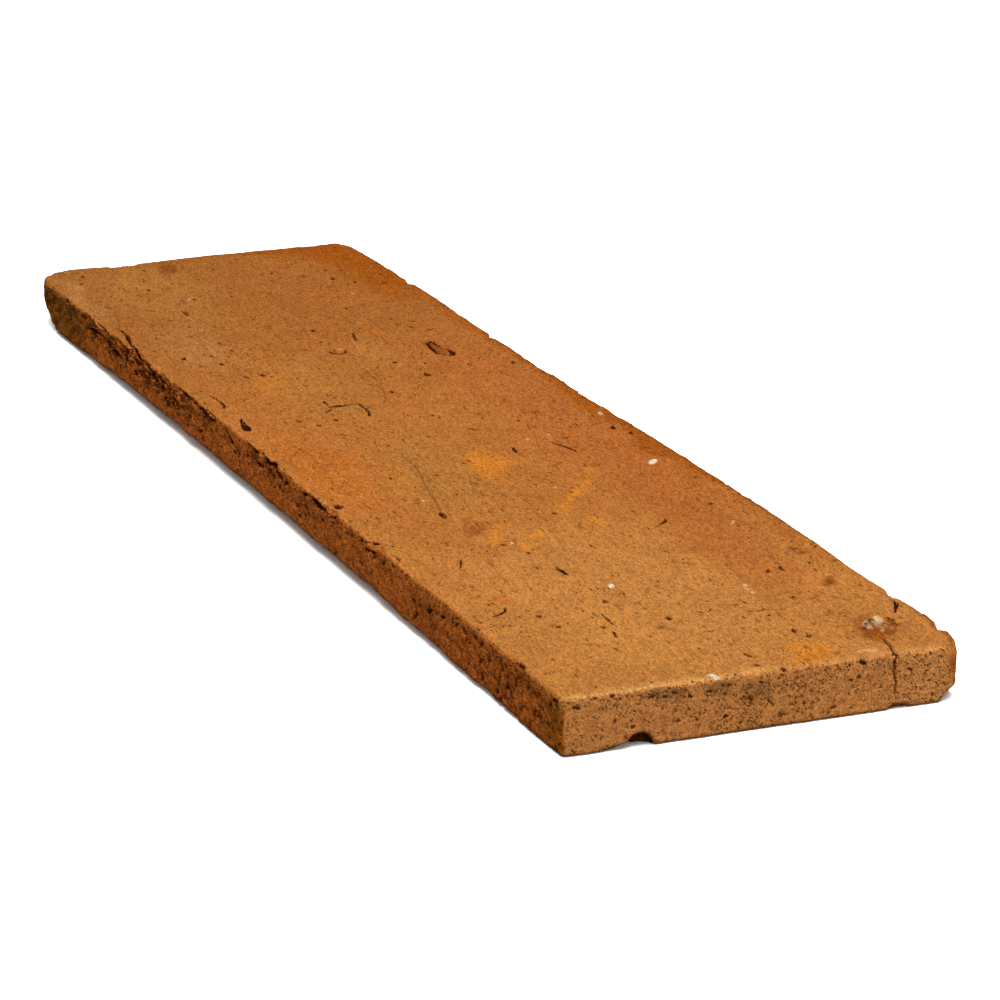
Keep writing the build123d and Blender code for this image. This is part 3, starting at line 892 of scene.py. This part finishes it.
def build_tile():
    """The tile's mesh with its relief, its colours and the faces that the material tells apart."""
    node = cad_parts[NODE]
    corners = [vertex.co for vertex in node.data.vertices]
    solid = BVHTree.FromPolygons(corners, [face.vertices for face in node.data.polygons])
    tile = dense_copy(node)
    for wanted in (first_refinement, second_refinement, third_refinement):
        refine(tile, wanted, solid)
    points, normals = vertex_array(tile, "co") / MM, vertex_array(tile, "normal")
    shift, hollow_shade = relief(points, normals)
    moved = points + shift[:, None] * normals
    moved[:, 2] = np.maximum(moved[:, 2], bed_line(points))
    tile.data.vertices.foreach_set("co", (moved * MM).ravel())

    colour_attribute(tile.data, "clay", clay_colours(points, normals, hollow_shade))
    parts = (facing(normals, "top"), facing(normals, "near"), front_breakage(points, normals))
    colour_attribute(tile.data, "faces", np.stack(parts, axis=1))
    tile.data.update()
    tile.data.shade_smooth()
    return tile


# Material

def node_tree(owner):
    """The emptied node tree of a material or a world."""
    owner.use_nodes = True
    owner.node_tree.nodes.clear()
    return owner.node_tree


def add(tree, kind, links=(), **values):
    """The outputs of a new node, with its inputs set to values or joined to other outputs."""
    node = tree.nodes.new(kind)
    for name, value in values.items():
        setattr(node, name, value)
    for socket, source in links:
        if isinstance(source, bpy.types.NodeSocket):
            tree.links.new(source, node.inputs[socket])
        else:
            node.inputs[socket].default_value = source
    return node.outputs


def math_node(tree, operation, *sources):
    return add(tree, "ShaderNodeMath", list(enumerate(sources)), operation=operation)[0]


def product(tree, *sources):
    return reduce(partial(math_node, tree, "MULTIPLY"), sources)


def highest(tree, *sources):
    return reduce(partial(math_node, tree, "MAXIMUM"), sources)


def weighted(tree, value, weight, rest):
    """A value times its weight, added to the rest."""
    return math_node(tree, "MULTIPLY_ADD", value, weight, rest)


def ranged(tree, value, *limits):
    """A value moved from one range to another, each with its low and high limit."""
    names = ("Value", "From Min", "From Max", "To Min", "To Max")
    return add(tree, "ShaderNodeMapRange", zip(names, (value, *limits)))[0]


def blended(tree, factor, first, second):
    links = [("Factor", factor), ("A", first), ("B", second)]
    return add(tree, "ShaderNodeMix", links, data_type="RGBA")["Result"]


def noise_node(tree, place, scale, detail):
    links = [("Vector", place), ("Scale", scale), ("Detail", detail)]
    return add(tree, "ShaderNodeTexNoise", links)[0]


def drawn_out(tree, place, rotation, scale):
    """Coordinates that draw a pattern out along turned axes."""
    links = [("Vector", place), ("Rotation", rotation), ("Scale", scale)]
    return add(tree, "ShaderNodeMapping", links, vector_type="TEXTURE")[0]


def grains(tree, place, scale):
    """Two random numbers for each grain, and the distance from the grain's middle."""
    cells = add(tree, "ShaderNodeTexVoronoi", [("Vector", place), ("Scale", scale)])
    first, second, _ = add(tree, "ShaderNodeSeparateColor", [("Color", cells["Color"])])
    return first, second, cells["Distance"]


def pore_field(tree, place, scale, picked_from, reach):
    """Small pores of mixed size in loose clusters: 1 inside a pore and 0 outside."""
    chance, size, distance = grains(tree, place, scale)
    cluster = ranged(tree, noise_node(tree, place, scale / 10, 2), 0.3, 0.7, -0.2, 0.2)
    picked = math_node(tree, "GREATER_THAN", math_node(tree, "ADD", chance, cluster), picked_from)
    radius = ranged(tree, size, 0, 1, 0.4 * reach, reach)
    inside = math_node(tree, "SUBTRACT", radius, distance)
    return product(tree, picked, ranged(tree, inside, 0, 0.12, 0, 1))


def end_pores(tree, place):
    """The near end's pores, slanted both ways."""
    one_way = pore_field(tree, drawn_out(tree, place, (-0.85, 0, 0), (1, 2.6, 1)), 1450, 0.66, 0.48)
    other_way = pore_field(tree, drawn_out(tree, place, (0.35, 0, 0), (1, 2.4, 1)), 2100, 0.66, 0.5)
    return highest(tree, one_way, other_way)


def top_pores(tree, place, along):
    """The walking face's sparse pores and dashes."""
    large = pore_field(tree, along, 300, 0.93, 0.2)
    small = pore_field(tree, along, 900, 0.95, 0.42)
    dashes = pore_field(tree, drawn_out(tree, place, (0, 0, -0.1), (5.5, 1, 1)), 800, 0.92, 0.32)
    return highest(tree, large, small, dashes)


def crevices(tree, place):
    """Thin lines along the length for broken clay, where shade is painted into the cracks."""
    lines = noise_node(tree, drawn_out(tree, place, (0, -0.25, 0), (3.2, 1, 1)), 400, 3)
    from_line = math_node(tree, "ABSOLUTE", math_node(tree, "SUBTRACT", lines, 0.5))
    return ranged(tree, from_line, 0.012, 0.042, 0.95, 0)


def drag_marks(tree, place, top):
    """Faint streaks that the strike left on parts of the walking face."""
    drag = noise_node(tree, drawn_out(tree, place, (0, 0, -0.15), (14, 1, 1)), 800, 2)
    dragged = ranged(tree, noise_node(tree, place, 16, 2), 0.42, 0.6, 0, 0.45)
    return product(tree, math_node(tree, "SUBTRACT", drag, 0.5), dragged, top)


def terracotta():
    """Sandy clay over the mesh's colours, with painted shade in its pores and cracks, roughness and bump."""
    material = bpy.data.materials.new("terracotta")
    tree = node_tree(material)
    place = add(tree, "ShaderNodeTexCoord")["Object"]
    clay = add(tree, "ShaderNodeAttribute", attribute_name="clay")["Color"]
    faces = add(tree, "ShaderNodeAttribute", attribute_name="faces")["Color"]
    top, near, broken = add(tree, "ShaderNodeSeparateColor", [("Color", faces)])
    side = math_node(tree, "SUBTRACT", 1, highest(tree, top, near))
    along = drawn_out(tree, place, (0, 0, -0.12), (2.2, 1, 1))
    side_place = drawn_out(tree, place, (0, -0.5, 0), (2.8, 1, 1))

    # Lightness: sand in two sizes, mottling, drag marks and the sides' patches
    fine, pale, _ = grains(tree, along, 1850)
    coarse, dark, _ = grains(tree, along, 760)
    mottle = noise_node(tree, along, 150, 4)
    streak = drag_marks(tree, place, top)
    patches = ranged(tree, noise_node(tree, side_place, 420, 3), 0.3, 0.7, -0.26, 0.26)
    strength = weighted(tree, side, 0.42, weighted(tree, near, 0.1, 0.64))
    tone = product(
        tree,
        weighted(tree, math_node(tree, "SUBTRACT", fine, 0.5), strength, 1),
        ranged(tree, coarse, 0, 1, 0.95, 1.05),
        ranged(tree, mottle, 0.3, 0.7, 0.95, 1.05),
        math_node(tree, "ADD", streak, 1),
        weighted(tree, patches, side, 1),
    )
    colour = add(tree, "ShaderNodeVectorMath", [(0, clay), ("Scale", tone)], operation="SCALE")[0]

    # Single grains and rusty flecks
    rusty = noise_node(tree, along, 420, 2)
    colour = blended(tree, ranged(tree, pale, 0.975, 0.985, 0, 0.35), colour, SAND_PALE)
    colour = blended(tree, ranged(tree, dark, 0.965, 0.975, 0, 0.5), colour, SAND_DARK)
    colour = blended(tree, ranged(tree, rusty, 0.62, 0.74, 0, 0.34), colour, SAND_RUST)

    # Pores and the front side's cracks, darkened with painted shade
    in_end = product(tree, end_pores(tree, place), near)
    in_top = product(tree, top_pores(tree, place, along), top)
    in_side = product(tree, pore_field(tree, side_place, 750, 0.75, 0.42), side)
    in_side = highest(tree, in_side, product(tree, crevices(tree, place), broken))
    pores = highest(tree, in_end, in_top)
    colour = blended(tree, product(tree, pores, 0.88), colour, PORE_SHADE)
    colour = blended(tree, product(tree, in_side, 0.85), colour, SIDE_PORE_SHADE)

    height = product(tree, noise_node(tree, along, 1900, 2), 0.5)
    pitted = highest(tree, pores, in_side)
    for pattern, weight in ((mottle, 0.9), (streak, 0.5), (coarse, 0.2), (pitted, -1.4)):
        height = weighted(tree, pattern, weight, height)
    links = [("Height", height), ("Strength", BUMP_STRENGTH), ("Distance", BUMP_DEPTH * MM)]
    bump = add(tree, "ShaderNodeBump", links)[0]

    rough = ranged(tree, fine, 0, 1, 0.86, 1)
    links = [("Base Color", colour), ("Roughness", rough), ("Normal", bump), ("Specular IOR Level", SHEEN)]
    surface = add(tree, "ShaderNodeBsdfPrincipled", links)[0]
    add(tree, "ShaderNodeOutputMaterial", [("Surface", surface)])
    return material


# Floor, light and camera

def lit_and_seen(tree, output, lighting, seen):
    """Ends a tree with one shader to light the tile, and another to be seen past it."""
    path = add(tree, "ShaderNodeLightPath")
    rays = highest(tree, path["Is Camera Ray"], path["Is Glossy Ray"], path["Is Transmission Ray"])
    both = add(tree, "ShaderNodeMixShader", [(0, rays), (1, lighting), (2, seen)])[0]
    add(tree, output, [("Surface", both)])


def grey(level):
    return (level, level, level, 1)


def studio_floor():
    corners = [(FLOOR_HALF * x, FLOOR_HALF * y, 0) for x, y in ((-1, -1), (1, -1), (1, 1), (-1, 1))]
    mesh = bpy.data.meshes.new("floor")
    mesh.from_pydata(corners, [], [(0, 1, 2, 3)])
    floor = in_scene("floor", mesh)
    floor.location.z = -FLOOR_DROP * MM
    material = bpy.data.materials.new("floor")
    tree = node_tree(material)
    bounce = add(tree, "ShaderNodeBsdfDiffuse", [("Color", grey(FLOOR_BOUNCE))])[0]
    white = add(tree, "ShaderNodeBsdfDiffuse", [("Color", grey(FLOOR_WHITE))])[0]
    lit_and_seen(tree, "ShaderNodeOutputMaterial", bounce, white)
    mesh.materials.append(material)


def sun(name, energy, spread, turn):
    light = bpy.data.lights.new(name, "SUN")
    light.energy = energy
    light.angle = math.radians(spread)
    in_scene(name, light).rotation_euler = np.radians(turn)


def studio_light():
    """Soft light that grows from the horizon to overhead, and the suns."""
    world = bpy.data.worlds.new("studio")
    bpy.context.scene.world = world
    tree = node_tree(world)
    direction = add(tree, "ShaderNodeTexCoord")["Generated"]
    height = add(tree, "ShaderNodeSeparateXYZ", [("Vector", direction)])["Z"]
    soft = ranged(tree, height, 0, 1, *SKY_STRENGTHS)
    ambient = add(tree, "ShaderNodeBackground", [("Color", grey(1)), ("Strength", soft)])[0]
    white = add(tree, "ShaderNodeBackground", [("Color", grey(1)), ("Strength", 1)])[0]
    lit_and_seen(tree, "ShaderNodeOutputWorld", ambient, white)
    for name, energy, spread, turn in SUNS:
        sun(name, energy, spread, turn)


def photo_camera():
    camera = bpy.data.cameras.new("camera")
    camera.sensor_width = SENSOR_WIDTH
    camera.lens = LENS
    rig = in_scene("camera", camera)
    rig.location = CAMERA_PLACE
    rig.rotation_euler = np.radians(CAMERA_TURN)
    bpy.context.scene.camera = rig


bpy.context.scene.view_settings.view_transform = "Standard"
tile = build_tile()
tile.data.materials.clear()
tile.data.materials.append(terracotta())
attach(tile, "root")
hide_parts(NODE)
studio_floor()
studio_light()
photo_camera()
